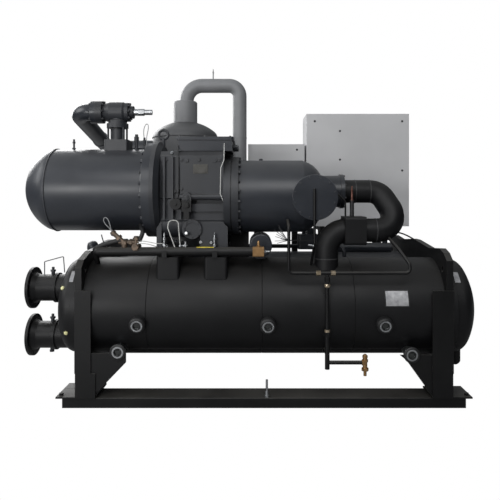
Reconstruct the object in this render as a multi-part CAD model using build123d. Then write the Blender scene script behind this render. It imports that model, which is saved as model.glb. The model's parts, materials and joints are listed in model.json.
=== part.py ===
from build123d import *
from math import atan2, asin, cos, degrees, pi, sin
import os

os.makedirs("parts", exist_ok=True)

# Extent of the machine, measured from the middle of the base and the axis of the front vessel
Y_BACK = 1450.0

# Vessels
EVAP_Y = 0.0
EVAP_Z = 720.0
EVAP_R = 390.0
COND_Y = 950.0
COND_Z = 700.0
COND_R = 360.0
INSULATION_AND_SHELL = 32.0
SHELL_WALL = 12.0
HEAD_WALL = 14.0
KNUCKLE = 0.5
SHEET_OUT = 1440.0
SHEET_T = 50.0
SHEET_IN = SHEET_OUT - SHEET_T
HEAD_RING = 38.0
HEAD_RING_R = EVAP_R + 14
COND_RING_R = COND_R + 12
HEAD_R = EVAP_R - 10
HEAD_STRAIGHT_LEFT = 40.0
HEAD_STRAIGHT_RIGHT = 60.0
EVAP_HEAD_LEFT = 145.0
EVAP_HEAD_RIGHT = 170.0
COND_HEAD = 150.0

# Water nozzles, DN200 PN10
PIPE_R = 109.5
PIPE_BORE = 101.0
FLANGE_R = 170.0
FLANGE_T = 24.0
BOLT_CIRCLE = 295.0
BOLT_HOLES = 8
BOLT_HOLE_R = 11.0
CHILLED_Z = (860.0, 470.0)
COOLING_Z = (890.0, 510.0)
CHILLED_REACH = 480.0
COOLING_REACH = 340.0
CHILLED_FACE = -SHEET_OUT - CHILLED_REACH
COOLING_FACE = -SHEET_OUT - COOLING_REACH

# Base
RAIL_HALF = 1545.0
RAIL_W = 215.0
RAIL_H = 77.0
RAIL_FRONT_Y = -370.0
PLATE_T = 12.0
FOOT_Z = RAIL_H + PLATE_T
LEG_T = 12.0
SHEET_FRONT = -EVAP_R - 2
LEG_FACE = SHEET_FRONT - LEG_T
FOOT_TOP = 273.0
LEG_TOP = 902.0
MID_Y = (EVAP_Y + COND_Y) / 2

# Horizontal oil separator and compressor
SEP_Z = 1672.0
SEP_R = 336.0
SEP_HEAD_X = -1707.0
SEP_HEAD = 243.0
SEP_FLANGE_L = -945.0
SEP_FLANGE_R = 388.0
COMP_FLANGE_L = -882.0
COMP_FLANGE_R = 396.0
CASE_L = -816.0
CASE_R = -315.0
MOTOR_Z = 1620.0
MOTOR_FLANGE_R = 325.0
MOTOR_L = -200.0
MOTOR_R = 297.0
MOTOR_TAPER_L = 320.0
MOTOR_END = 480.0
SADDLE_TOP = 1200.0
BOX_Z = (1978.0, 2090.0)

# Oil line
OIL_Y = -296.0
OIL_Z = 1190.0
OIL_R = 35.0
OIL_END = 87.0

# Suction line
STRAIN_X = 400.0
STRAIN_Z = 1611.0
STRAIN_R = 165.0
STRAIN_FRONT = -300.0
STUB_R = 131.0
STUB_END = 662.0
SUCTION_Z = 1660.0
SUCTION_R = 95.0
RETURN_X = 1049.0
RETURN_Y = -150.0
RETURN_Z = 1346.0
DROP_X = 505.0

# Discharge line and vertical separator
VALVE_X = -1213.0
VALVE_Z = 2318.0
GAS_R = 70.0
GAS_FALL = 208.0
VSEP_X = -771.0
VSEP_R = 325.0
VSEP_LOW = 1360.0
VSEP_TOP = 2200.0
VSEP_HEAD = 170.0
NECK_R = 119.0
NECK_TOP = 2570.0
ARCH_X = -758.0
ARCH_Z = 2731.0
RISER_X = -224.0

# Cabinets
CAB_Y = 1050.0
DOOR_T = 12.0
CAB_BACK = Y_BACK - DOOR_T
CAB_BOTTOM = 1308.0
TALL_TOP = 2464.0
LOW_TOP = 2152.0

# Outline of the whole machine, used to put the origin in its middle
X_LEFT = SEP_HEAD_X - SEP_HEAD
X_RIGHT = SHEET_OUT + HEAD_RING + HEAD_STRAIGHT_RIGHT + EVAP_HEAD_RIGHT
Y_FRONT = -EVAP_R - 65.91
SHIFT = Pos(-(X_LEFT + X_RIGHT) / 2, -(Y_FRONT + Y_BACK) / 2, 0)


def save(name, *solids):
    shape = solids[0] if len(solids) == 1 else Compound(children=list(solids))
    export_step(SHIFT * shape, f"parts/{name}.step")


def block(x0, x1, y0, y1, z0, z1):
    return Pos((x0 + x1) / 2, (y0 + y1) / 2, (z0 + z1) / 2) * Box(x1 - x0, y1 - y0, z1 - z0)


def turned(*points):
    face = make_face(Polyline(*points, close=True))
    return Rot(90, 0, 0) * revolve(face, Axis.Y)


def rod(r, h):
    return Pos(0, 0, h / 2) * Cylinder(r, h)


def ring(r_in, r_out, h):
    return turned((r_in, 0), (r_out, 0), (r_out, h), (r_in, h))


def hexagon(across, h):
    return extrude(RegularPolygon(across / 2, 6, major_radius=False), h)


def dished(r, depth, knuckle):
    run = r - knuckle
    crown = (run ** 2 + depth ** 2 - knuckle ** 2) / (2 * (depth - knuckle))
    tilt = atan2(crown - depth, run)
    join = (run + knuckle * cos(tilt), knuckle * sin(tilt))
    bend = (run + knuckle * cos(tilt / 2), knuckle * sin(tilt / 2))
    half = (tilt + pi / 2) / 2
    mid = (crown * cos(half), depth - crown + crown * sin(half))
    return [ThreePointArc((r, 0), bend, join), ThreePointArc(join, mid, (0, depth))]


def full_dome(r, depth):
    lines = dished(r, depth, depth * KNUCKLE) + [Line((0, depth), (0, 0)), Line((0, 0), (r, 0))]
    return Rot(90, 0, 0) * revolve(make_face(lines), Axis.Y)


def dome(r, depth, wall):
    inner = dished(r - wall, depth - wall, depth * KNUCKLE - wall)
    lines = inner + [Line((0, depth - wall), (0, 0)), Line((0, 0), (r - wall, 0))]
    return full_dome(r, depth) - Rot(90, 0, 0) * revolve(make_face(lines), Axis.Y)


def to_right(x, y, z, solid):
    return Pos(x, y, z) * Rot(0, 90, 0) * solid


def to_left(x, y, z, solid):
    return Pos(x, y, z) * Rot(0, -90, 0) * solid


def to_front(x, y, z, solid):
    return Pos(x, y, z) * Rot(90, 0, 0) * solid


def pipe(r, bend, *points):
    path = FilletPolyline(*points, radius=bend) if len(points) > 2 else Line(*points)
    return sweep(Plane(origin=path @ 0, z_dir=path % 0) * Circle(r), path=path)


def bolts(across, height, count, radius, start=0.0):
    return [spot * hexagon(across, height) for spot in PolarLocations(radius, count, start)]


def fuse(first, parts):
    for item in parts:
        first = first + item
    return first


def mirrored_rear(solid):
    return mirror(solid, Plane(origin=(0, MID_Y, 0), z_dir=(0, 1, 0)))


def mirrored_left(solid):
    return mirror(solid, Plane.YZ)


evap_body = to_right(-SHEET_IN, EVAP_Y, EVAP_Z, rod(EVAP_R, 2 * SHEET_IN))
cond_body = to_right(-SHEET_IN, COND_Y, COND_Z, rod(COND_R, 2 * SHEET_IN))


# Base rails, foot plates and studs
def rail():
    web = 9.0
    lip = 10.0
    y1 = RAIL_FRONT_Y + RAIL_W
    outer = block(-RAIL_HALF, RAIL_HALF, RAIL_FRONT_Y, y1, 0, RAIL_H)
    inner = block(-RAIL_HALF, RAIL_HALF, RAIL_FRONT_Y + lip, y1 - lip, 0, RAIL_H - web)
    body = fillet((outer - inner).edges().filter_by(Axis.X).group_by(Axis.Z)[-1], 6)
    return body


STUD_X = 22.0
STUD_Y = RAIL_FRONT_Y + 25


def stud():
    body = rod(9, 132) + hexagon(36, 16) + Pos(0, 0, 16) * turned((0, 0), (15, 0), (12, 30), (0, 30))
    return Pos(STUD_X, STUD_Y, RAIL_H) * body


def foot_plates():
    edge = RAIL_HALF + 45
    right = block(1285, edge, -386, -140, RAIL_H, FOOT_Z)
    left = block(-edge, -1285, -386, -72, RAIL_H, FOOT_Z)
    seam = block(-edge - 10, -1275, -203, -199, FOOT_Z - 4, FOOT_Z + 1)
    left = left - seam
    right = right + Pos(edge - 30, -340, FOOT_Z) * hexagon(30, 18)
    left = left + Pos(30 - edge, -340, FOOT_Z) * hexagon(30, 18)
    rear_right = mirrored_rear(right)
    rear_left = mirrored_left(rear_right)
    return [left, right, rear_left, rear_right]


save("base_rails", rail(), mirrored_rear(rail()))
save("anchor_studs", stud(), mirrored_rear(stud()))
save("foot_plates", *foot_plates())


# End plates shared by both vessels
LEFT_TOP = ((SHEET_FRONT, 1074), (-330, 1130), (-262, 1146), (-145, 1178), (80, 1183), (415, 1216))
RIGHT_TOP = ((SHEET_FRONT, 1128), (-321, 1181), (-229, 1208), (27, 1186), (415, 1223))
LIFT_Y = SHEET_FRONT + 100
LIFT_Z = 1052.0


def end_plate(top):
    front = [(SHEET_FRONT, FOOT_Z)] + list(top)
    rear = [(2 * MID_Y - y, z) for y, z in reversed(front)]
    low = [(1150, FOOT_Z), (1150, 170), (1110, 205), (-160, 205), (-200, 170), (-200, FOOT_Z)]
    sketch = make_face(Polyline(*[(0, y, z) for y, z in front + rear + low], close=True))
    plate = Pos(SHEET_IN, 0, 0) * extrude(sketch, amount=SHEET_T, dir=(1, 0, 0))
    for y in (LIFT_Y, 2 * MID_Y - LIFT_Y):
        plate = plate - to_right(SHEET_IN - 5, y, LIFT_Z, rod(23, SHEET_T + 10))
    return plate


# Front plate of a leg with the gusset behind it
def leg(inner_upper, gusset):
    upper = block(SHEET_OUT - inner_upper, SHEET_OUT, LEG_FACE, SHEET_FRONT, FOOT_TOP, LEG_TOP)
    lower = block(SHEET_OUT - 157, SHEET_OUT - 10, LEG_FACE, SHEET_FRONT, FOOT_Z, FOOT_TOP)
    points = [(SHEET_OUT - x, z) for x, z in gusset] + [(SHEET_IN, FOOT_Z), (SHEET_IN, gusset[0][1])]
    face = make_face(Polyline(*[(x, SHEET_FRONT, z) for x, z in points], close=True))
    return upper + lower + extrude(face, amount=LEG_T, dir=(0, 1, 0)) - evap_body


right_leg = leg(160, ((406, 412), (355, 371), (153, FOOT_Z)))
left_leg = mirrored_left(leg(123, ((388, 425), (388, 355), (131, FOOT_Z))))
right_plate = end_plate(RIGHT_TOP)
left_plate = mirrored_left(end_plate(LEFT_TOP))
save("end_plates", left_plate, right_plate)
save("leg_flanges", left_leg, right_leg, mirrored_rear(left_leg), mirrored_rear(right_leg))


# Vessel shells
def evaporator_shell():
    r = EVAP_R
    g = 3.0
    points = [(r, 0)]
    for seam in (484.0, 1374.0, 2085.0):
        points += [(r, seam), (r - g, seam + 2), (r - g, seam + 4), (r, seam + 6)]
    points += [(r, 2 * SHEET_IN), (r - INSULATION_AND_SHELL, 2 * SHEET_IN), (r - INSULATION_AND_SHELL, 0)]
    return to_right(-SHEET_IN, EVAP_Y, EVAP_Z, turned(*points))


save("evaporator_shell", evaporator_shell())
save("condenser_shell", to_right(-SHEET_IN, COND_Y, COND_Z, ring(COND_R - SHELL_WALL, COND_R, 2 * SHEET_IN)))


def head(ring_r, r, straight, depth):
    base = ring(r - HEAD_WALL, ring_r, HEAD_RING)
    if straight > 0:
        base = base + Pos(0, 0, HEAD_RING) * ring(r - HEAD_WALL, r, straight)
    return base + Pos(0, 0, HEAD_RING + straight) * dome(r, depth, HEAD_WALL)


def head_body(ring_r, r, straight, depth):
    base = rod(ring_r, HEAD_RING)
    if straight > 0:
        base = base + Pos(0, 0, HEAD_RING) * rod(r, straight)
    return base + Pos(0, 0, HEAD_RING + straight) * full_dome(r, depth)


def nozzle(length):
    return turned((PIPE_BORE, 0), (FLANGE_R, 0), (FLANGE_R, -FLANGE_T), (128, -FLANGE_T), (PIPE_R, -62),
                  (PIPE_R, -length), (PIPE_BORE, -length))


def drilled(body):
    for spot in PolarLocations(BOLT_CIRCLE / 2, BOLT_HOLES, 360 / BOLT_HOLES / 2):
        body = body - spot * Pos(0, 0, -FLANGE_T - 1) * rod(BOLT_HOLE_R, FLANGE_T + 2)
    return body


def collar(at):
    return Pos(0, 0, -at) * ring(PIPE_R - 1, PIPE_R + 13, 28)


COND_HEAD_R = COND_R - 10
evap_left = to_left(-SHEET_OUT, EVAP_Y, EVAP_Z, head(HEAD_RING_R, HEAD_R, HEAD_STRAIGHT_LEFT, EVAP_HEAD_LEFT))
evap_left_body = to_left(-SHEET_OUT, EVAP_Y, EVAP_Z,
                         head_body(HEAD_RING_R, HEAD_R, HEAD_STRAIGHT_LEFT, EVAP_HEAD_LEFT))
cond_left = to_left(-SHEET_OUT, COND_Y, COND_Z, head(COND_RING_R, COND_HEAD_R, 0, COND_HEAD))
cond_left_body = to_left(-SHEET_OUT, COND_Y, COND_Z, head_body(COND_RING_R, COND_HEAD_R, 0, COND_HEAD))
evap_right = to_right(SHEET_OUT, EVAP_Y, EVAP_Z, head(HEAD_RING_R, HEAD_R, HEAD_STRAIGHT_RIGHT, EVAP_HEAD_RIGHT))
evap_right_body = to_right(SHEET_OUT, EVAP_Y, EVAP_Z,
                           head_body(HEAD_RING_R, HEAD_R, HEAD_STRAIGHT_RIGHT, EVAP_HEAD_RIGHT))
pocket_x = SHEET_OUT + HEAD_RING + HEAD_STRAIGHT_RIGHT + 55
pocket_z = EVAP_Z - EVAP_R - 70
drain_pocket = Pos(pocket_x, EVAP_Y, pocket_z) * (rod(46, 160) + Rot(180, 0, 0) * full_dome(46, 40))
evap_right = evap_right + (drain_pocket - evap_right_body)
cond_right = to_right(SHEET_OUT, COND_Y, COND_Z, head(COND_RING_R, COND_HEAD_R, 0, COND_HEAD))


def water_nozzle(face, y, z, body, collar_at):
    part = drilled(nozzle(-SHEET_OUT - face - 30) + collar(collar_at))
    return to_left(face, y, z, part) - body


def bore(face, y, z):
    return to_right(face - 10, y, z, rod(PIPE_BORE, -SHEET_OUT - face - 20))


for z in CHILLED_Z:
    evap_left = evap_left - bore(CHILLED_FACE, EVAP_Y, z)
for z in COOLING_Z:
    cond_left = cond_left - bore(COOLING_FACE, COND_Y, z)
save("evaporator_head_left", evap_left)
save("evaporator_head_right", evap_right)
save("condenser_heads", cond_left, cond_right)
save("chilled_water_nozzles", water_nozzle(CHILLED_FACE, EVAP_Y, CHILLED_Z[0], evap_left_body, 225),
     water_nozzle(CHILLED_FACE, EVAP_Y, CHILLED_Z[1], evap_left_body, 215))
cooling = [water_nozzle(COOLING_FACE, COND_Y, z, cond_left_body, 150) for z in COOLING_Z]
save("cooling_water_nozzles", *cooling)


# Small fittings on the water nozzles
def chilled_pipe(z):
    return to_right(CHILLED_FACE, 0, z, rod(PIPE_R, CHILLED_REACH))


def pocket(reach, z):
    body = rod(15, 30) + Pos(0, 0, 30) * hexagon(40, 16) + Pos(0, 0, 46) * rod(11, 22)
    return Pos(CHILLED_FACE + reach, 0, z + PIPE_R - 6) * body - chilled_pipe(z)


def bracket():
    x = CHILLED_FACE + 98
    z = CHILLED_Z[0]
    arms = pipe(4, 8, (x, 0, z + 180), (x, 0, z + 215), (x + 157, 0, z + 258), (x + 167, 0, z + 125))
    foot = Pos(x, 0, z + PIPE_R - 3) * rod(4, 75)
    return arms + foot - chilled_pipe(z) - evap_left_body


def drain_plug(reach, z):
    body = rod(14, 40) + hexagon(34, 16)
    return Pos(CHILLED_FACE + reach, 0, z - PIPE_R - 34) * body - chilled_pipe(z)


def vent_cap(reach):
    z = COOLING_Z[0] + PIPE_R
    body = rod(26, 96) + Pos(0, 0, 74) * (rod(54, 34) + Pos(0, 0, 34) * full_dome(54, 40))
    return Pos(COOLING_FACE + reach, COND_Y, z - 6) * body - cooling[0]


save("head_fittings", pocket(170, CHILLED_Z[0]), pocket(167, CHILLED_Z[1]), bracket(),
     drain_plug(160, CHILLED_Z[1]), vent_cap(90))

# Sight glasses on the front vessel
GLASSES = ((-960, 642), (30, 636), (913, 640))
LOW_GLASSES = ((-1110, 438), (1120, 416))
GLASS_REACH = 62.0
LOW_GLASS_FACE = SHEET_FRONT + 24


def glass_tube(length):
    body = rod(36, length) + Pos(0, 0, length - 30) * ring(20, 47, 34)
    body = body - Pos(0, 0, length - 6) * rod(25, 30)
    for spot in PolarLocations(40, 6):
        body = body + spot * Pos(0, 0, length + 4) * rod(4.5, 4)
    return body


def sight_glass(x, z):
    tilt = degrees(asin((EVAP_Z - z) / (EVAP_R + GLASS_REACH)))
    place = Pos(x, EVAP_Y, EVAP_Z) * Rot(tilt, 0, 0) * Rot(90, 0, 0) * Pos(0, 0, EVAP_R - 12)
    return place * glass_tube(70) - evap_body


def low_sight_glass(x, z):
    return to_front(x, LOW_GLASS_FACE + 214, z, glass_tube(210)) - evap_body


save("sight_glasses", *[sight_glass(x, z) for x, z in GLASSES], *[low_sight_glass(x, z) for x, z in LOW_GLASSES])


# Horizontal oil separator
SEP_WALL = 12.0
sep_body = to_right(SEP_HEAD_X, 0, SEP_Z, rod(SEP_R, SEP_FLANGE_L - SEP_HEAD_X))
sep_full = sep_body + to_left(SEP_HEAD_X, 0, SEP_Z, full_dome(SEP_R, SEP_HEAD))


def separator_shell():
    length = SEP_FLANGE_L - SEP_HEAD_X
    r = SEP_R
    seam = 5.0
    points = [(r - SEP_WALL, 0), (r + 3, 0), (r + 3, seam), (r, seam + 4), (r, length), (r - SEP_WALL, length)]
    return to_right(SEP_HEAD_X, 0, SEP_Z, turned(*points))


def separator_flange():
    width = COMP_FLANGE_L - SEP_FLANGE_L
    plate = turned((0, 0), (SEP_FLANGE_R, 0), (SEP_FLANGE_R, width), (0, width))
    plate = to_right(SEP_FLANGE_L, 0, SEP_Z, plate)
    heads = bolts(27, 18, 24, 363, 7.5)
    return fuse(plate, [to_left(SEP_FLANGE_L, 0, SEP_Z, b) for b in heads])


save("oil_separator_shell", separator_shell())
save("oil_separator_head", to_left(SEP_HEAD_X, 0, SEP_Z, dome(SEP_R, SEP_HEAD, SEP_WALL)))
save("oil_separator_flange", separator_flange())


# Compressor castings
def compressor_flange():
    w = CASE_L - COMP_FLANGE_L
    r = COMP_FLANGE_R
    return to_right(COMP_FLANGE_L, 0, SEP_Z + 5, turned((0, 0), (r, 0), (r, w - 34), (r - 42, w), (0, w)))


def casing_profile(front):
    return [(front, 1606), (front, 1938), (front + 46, 1978), (225, 1978), (286, 1900), (286, 1480),
            (205, 1345), (-180, 1345), (-236, 1430), (-236, 1596)]


def casing_slab(x0, x1, front):
    face = make_face(Polyline(*[(x0, y, z) for y, z in casing_profile(front)], close=True))
    return extrude(face, amount=x1 - x0, dir=(1, 0, 0))


def rotor_casing():
    body = casing_slab(CASE_L, -654, -246) + casing_slab(-654, CASE_R, -284)
    body = body + to_right(-654, -284, 1616, rod(24, CASE_R + 654))
    body = body + to_right(CASE_L, -120, 1400, rod(112, CASE_R - CASE_L))
    for x in (-790, -725, -662):
        body = body + block(x, x + 16, -278, -200, 1440, 1930)
    body = body + block(-640, CASE_R, -262, -120, 1500, 1560)
    for x in (-600, -380):
        body = body + to_front(x, -284, 1900, hexagon(26, 12))
    port = to_front(-562, -225, 1362, rod(76, 62) - Pos(0, 0, 52) * rod(52, 20))
    return fuse(body + port, [to_front(-562, -287, 1362, b) for b in bolts(14, 9, 8, 64)])


rotor = rotor_casing()
save("compressor_flange", compressor_flange())
save("compressor_rotor_casing", rotor)


def motor_flange():
    w = MOTOR_L - CASE_R
    r = MOTOR_FLANGE_R
    body = turned((0, 0), (r, 0), (r, w * 0.46), (r - 12, w * 0.46), (r - 12, w * 0.54), (r, w * 0.54),
                  (r, w), (0, w))
    body = to_right(CASE_R, 0, MOTOR_Z, body)
    return fuse(body, [to_right(MOTOR_L, 0, MOTOR_Z, b) for b in bolts(22, 16, 24, 310, 7.5)])


def motor_casing():
    a = MOTOR_TAPER_L - MOTOR_L
    e = MOTOR_END - MOTOR_L
    r = MOTOR_R
    outline = [Line((0, 0), (r, 0)), Line((r, 0), (r, a)),
               ThreePointArc((r, a), (252, a + 92), (168, e)), Line((168, e), (0, e)), Line((0, e), (0, 0))]
    body = Rot(90, 0, 0) * revolve(make_face(outline), Axis.Y)
    return to_right(MOTOR_L, 0, MOTOR_Z, body)


motor = motor_casing()
motor_ring = motor_flange()
save("compressor_motor_flange", motor_ring)
save("compressor_motor_casing", motor)


def terminal_box():
    base = block(-675, -250, -246, 190, BOX_Z[0], BOX_Z[1] - 26)
    lid = block(-685, -240, -256, 200, BOX_Z[1] - 26, BOX_Z[1])
    lid = fillet(lid.edges().filter_by(Axis.Z), 18)
    body = base + lid
    for x in (-660, -462, -265):
        for y in (-236, 180):
            body = body + Pos(x, y, BOX_Z[1]) * hexagon(14, 7)
    body = body + to_right(-250, 60, 2022, rod(26, 44)) + to_right(-250, -60, 2022, rod(20, 36))
    return body


save("terminal_box", terminal_box())


# Lugs, saddles and feet under the compressor
FOOT_T = 20.0


def oil_clip(x):
    clip = block(x, x + 40, OIL_Y - OIL_R - 6, -250, OIL_Z - 44, SADDLE_TOP)
    return clip - to_right(x - 10, OIL_Y, OIL_Z, rod(OIL_R, 60))


def saddle(x0, x1, clip_x):
    body = block(x0, x1, -257, 257, 960, SADDLE_TOP)
    foam = block(x0, x1, -300, 300, 900, OIL_Z - 44)
    foam = fillet(foam.edges().filter_by(Axis.Z), 22)
    return body + foam + oil_clip(clip_x) - evap_body


def feet():
    low = SADDLE_TOP + FOOT_T
    plates = [block(-848, -697, -250, 250, SADDLE_TOP, low), block(-500, -283, -262, 262, SADDLE_TOP, low)]
    web_a = block(-846, -806, -240, 240, low, low + 200)
    web_b = block(-420, -390, -240, 240, low, low + 180)
    face = make_face(Polyline((-500, 0, low), (-283, 0, low), (-283, 0, low + 157), (-318, 0, low + 192),
                              (-500, 0, low + 192), close=True))
    front = Pos(0, -262, 0) * extrude(face, amount=12, dir=(0, 1, 0))
    rear = Pos(0, 250, 0) * extrude(face, amount=12, dir=(0, 1, 0))
    first = plates[0] + web_a
    second = plates[1] + web_b + front + rear
    for item in (rotor, compressor_flange(), motor_ring, separator_flange()):
        first = first - item
        second = second - item
    return [first, second]


save("saddle_blocks", saddle(-839, -658, -790), saddle(-466, -283, -400))
save("compressor_feet", *feet())


def eyebolt():
    eye = Rot(90, 0, 0) * Torus(38, 11)
    return Pos(-824, -40, 2128) * eye + Pos(-824, -40, 2030) * rod(15, 64) - compressor_flange()


save("lifting_eye", eyebolt())


# Solenoid valves and capillary tubes on the casting
def solenoids():
    body = block(-636, -562, -330, -262, 1500, 1590)
    knob = to_front(-600, -330, 1552, rod(20, 22))
    riser = block(-620, -580, -330, -290, 1445, 1500)
    coil = to_front(-686, -278, 1560, rod(44, 46) + Pos(0, 0, 46) * hexagon(22, 10))
    return [body + knob + riser, coil]


save("compressor_solenoids", *solenoids())


def capillaries():
    riser = pipe(4, 14, (-662, -262, 1840), (-662, -292, 1840), (-662, -292, 1640), (-662, -262, 1640))
    loop = pipe(4, 30, (-681, OIL_Y, OIL_Z), (-748, OIL_Y, 1372), (-742, OIL_Y, 1432), (-668, OIL_Y, 1432),
                (-648, OIL_Y, OIL_Z))
    lead = pipe(3, 12, (-308, -200, 2030), (-308, -300, 2030), (-308, -340, 1900), (-332, -350, 1840),
                (-336, -350, 1640), (-318, -340, 1590), (-318, -240, 1575))
    return [riser - rotor, loop - oil_line(), lead - rotor - motor_ring - terminal_box()]


# Suction strainer and suction line
def strainer():
    body = to_front(STRAIN_X, 0, STRAIN_Z, rod(STRAIN_R, -STRAIN_FRONT - 16))
    cover = to_front(STRAIN_X, STRAIN_FRONT + 16, STRAIN_Z, rod(STRAIN_R + 14, 16))
    cover = fillet(cover.edges().group_by(Axis.Y)[0], 4)
    stub = to_right(STRAIN_X, 0, SUCTION_Z, rod(STUB_R, STUB_END - 30 - STRAIN_X))
    rim = to_right(STUB_END - 30, 0, SUCTION_Z, rod(STUB_R + 10, 30))
    return body + cover + stub + rim - motor


strain = strainer()
save("suction_strainer", strain)
SPLIT_X = 724.0
upper_suction = pipe(SUCTION_R, 130, (STUB_END, 0, SUCTION_Z), (RETURN_X - 89, 0, SUCTION_Z),
                     (RETURN_X, RETURN_Y * 0.53, SUCTION_Z - 160), (RETURN_X, RETURN_Y, RETURN_Z),
                     (SPLIT_X, RETURN_Y, RETURN_Z))
lower_suction = pipe(SUCTION_R, 165, (SPLIT_X, RETURN_Y, RETURN_Z), (DROP_X, RETURN_Y, RETURN_Z),
                     (DROP_X, RETURN_Y, 960)) - evap_body
save("suction_pipe", upper_suction + lower_suction)


def flange_box():
    body = block(640, 808, -268, -32, 1236, 1458)
    body = fillet(body.edges().filter_by(Axis.X), 22)
    return body - upper_suction - lower_suction


save("suction_flange_box", flange_box())
sensor_tip = Pos(0, 0, 134) * turned((0, 0), (9, 0), (9, 84), (5, 92), (5, 110), (0, 110))
post = Pos(712, RETURN_Y, 1458) * (rod(17, 134) + sensor_tip)
save("suction_sensor", post)
small = pipe(7, 30, (550, -80, SUCTION_Z), (596, -160, 1640), (656, -170, 1580), (656, -170, 1440)) - strain
gauge = to_front(STRAIN_X - 8, STRAIN_FRONT, STRAIN_Z + 24, rod(9, 26))
tall = pipe(11, 24, (392, -322, 1680), (392, -322, 1250), (380, -160, 1060)) - evap_body


# Discharge valve on the horizontal separator
GAS_LEFT = -1384.0


def discharge_base():
    body = block(-1300, -1110, -98, 98, 1960, 2084)
    body = fillet(body.edges().filter_by(Axis.Z), 12) - sep_full
    neck = Pos(VALVE_X, 0, 2084) * rod(58, 101)
    flange = Pos(VALVE_X, 0, 2185) * rod(88, 37)
    studs = [Pos(VALVE_X + x, y, 2084) * rod(8, 101) for x in (-62, 62) for y in (-62, 62)]
    return fuse(body + neck + flange, studs)


def discharge_body():
    drop = 96.0
    leg = Pos(VALVE_X, 0, VALVE_Z - drop) * turned((0, 0), (76, 0), (76, 22), (62, 34), (62, drop), (0, drop))
    barrel = turned((0, 0), (93, 0), (93, 54), (70, 60), (84, 112), (84, 222), (74, 238), (0, 238))
    body = to_right(GAS_LEFT, 0, VALVE_Z, barrel) + leg
    return fuse(body, [to_right(GAS_LEFT + 54, 0, VALVE_Z, b) for b in bolts(15, 14, 8, 83)])


def discharge_bonnet():
    plate = to_right(-1146, 0, VALVE_Z, rod(78, 30)) + to_right(-1116, 0, VALVE_Z, rod(52, 38))
    cap = to_right(-1078, 0, VALVE_Z, rod(28, 36) + Pos(0, 0, 36) * hexagon(50, 52) + Pos(0, 0, 88) * rod(22, 64))
    return fuse(plate + cap, [to_right(-1116, 0, VALVE_Z, b) for b in bolts(20, 14, 8, 66)])


def separator_valve(x, r, top, cap):
    body = Pos(x, 0, SEP_Z + SEP_R - 20) * (rod(r, top + 20) + Pos(0, 0, top - cap) * rod(r * 1.5, cap))
    return body + Pos(x, 0, SEP_Z + SEP_R - 20) * rod(r * 1.8, 34) - sep_full


save("discharge_base", discharge_base())
save("discharge_valve", discharge_body())
save("discharge_bonnet", discharge_bonnet() - discharge_body())
save("pilot_valve", separator_valve(-1056, 13, 126, 40), separator_valve(-990, 9, 100, 30),
     separator_valve(-1577, 8, 86, 14))

vsep_full = Pos(VSEP_X, COND_Y, VSEP_LOW) * rod(VSEP_R, VSEP_TOP - VSEP_LOW)
vsep_full = vsep_full + Pos(VSEP_X, COND_Y, VSEP_TOP) * full_dome(VSEP_R, VSEP_HEAD)
vsep_full = vsep_full + Pos(VSEP_X, COND_Y, VSEP_LOW) * Rot(180, 0, 0) * full_dome(VSEP_R, VSEP_HEAD)


def discharge_pipe():
    x = GAS_LEFT - 170
    tube = pipe(GAS_R, 112, (GAS_LEFT - 40, 0, VALVE_Z), (x, 0, VALVE_Z), (x, COND_Y, VALVE_Z - GAS_FALL),
                (VSEP_X, COND_Y, VALVE_Z - GAS_FALL))
    flange = to_left(GAS_LEFT, 0, VALVE_Z, rod(93, 40))
    lean = degrees(atan2(GAS_FALL, COND_Y))
    band = Pos(x, 700, VALVE_Z - GAS_FALL * 700 / COND_Y) * Rot(90 - lean, 0, 0) * Pos(0, 0, -16) * rod(GAS_R + 6, 32)
    body = tube + flange + band - vsep_full
    return fuse(body, [to_left(GAS_LEFT - 40, 0, VALVE_Z, b) for b in bolts(18, 12, 8, 84)])


save("discharge_pipe", discharge_pipe())


# Vertical oil separator and the pipe over it
def vertical_shell():
    return Pos(VSEP_X, COND_Y, VSEP_LOW) * ring(VSEP_R - 10, VSEP_R, VSEP_TOP - VSEP_LOW)


def vertical_neck():
    h = NECK_TOP - VSEP_TOP - 60
    neck = turned((0, 0), (NECK_R, 0), (NECK_R, h - 12), (NECK_R - 12, h), (0, h))
    return Pos(VSEP_X, COND_Y, VSEP_TOP + 60) * neck - vsep_full


def skirt():
    body = Pos(VSEP_X, COND_Y, 900) * ring(168, 180, 520)
    plate = Pos(VSEP_X, COND_Y, 900) * ring(180, 215, 190)
    return body + plate - vsep_full - cond_body


def gas_pipe():
    mid = (ARCH_X + RISER_X) / 2
    tube = pipe(GAS_R, 155, (ARCH_X, COND_Y, NECK_TOP), (ARCH_X, COND_Y, ARCH_Z), (mid, COND_Y, ARCH_Z))
    tube = tube + pipe(GAS_R, 105, (mid, COND_Y, ARCH_Z), (RISER_X, COND_Y, ARCH_Z), (RISER_X, COND_Y, 900))
    band = Pos(RISER_X, COND_Y, VSEP_TOP) * rod(GAS_R + 3, 10)
    stub = Pos(mid, COND_Y, ARCH_Z + GAS_R - 3) * (rod(6, 60) + Pos(0, 0, 60) * turned((0, 0), (9, 0), (2, 44), (0, 44)))
    pad = Pos(RISER_X, COND_Y, 900) * rod(GAS_R + 34, 190)
    return tube + band + stub + pad - cond_body


save("vertical_separator_shell", vertical_shell())
save("vertical_separator_heads", Pos(VSEP_X, COND_Y, VSEP_TOP) * dome(VSEP_R, VSEP_HEAD, 10),
     Pos(VSEP_X, COND_Y, VSEP_LOW) * Rot(180, 0, 0) * dome(VSEP_R, VSEP_HEAD, 10))
save("vertical_separator_neck", vertical_neck())
save("vertical_separator_skirt", skirt())
save("hot_gas_pipe", gas_pipe())


# Oil line in front of the compressor feet
def oil_line():
    body = to_right(-1290, OIL_Y, OIL_Z, rod(OIL_R, 1290 - OIL_END))
    return body + Pos(-1290, OIL_Y, OIL_Z) * Sphere(OIL_R)


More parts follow.
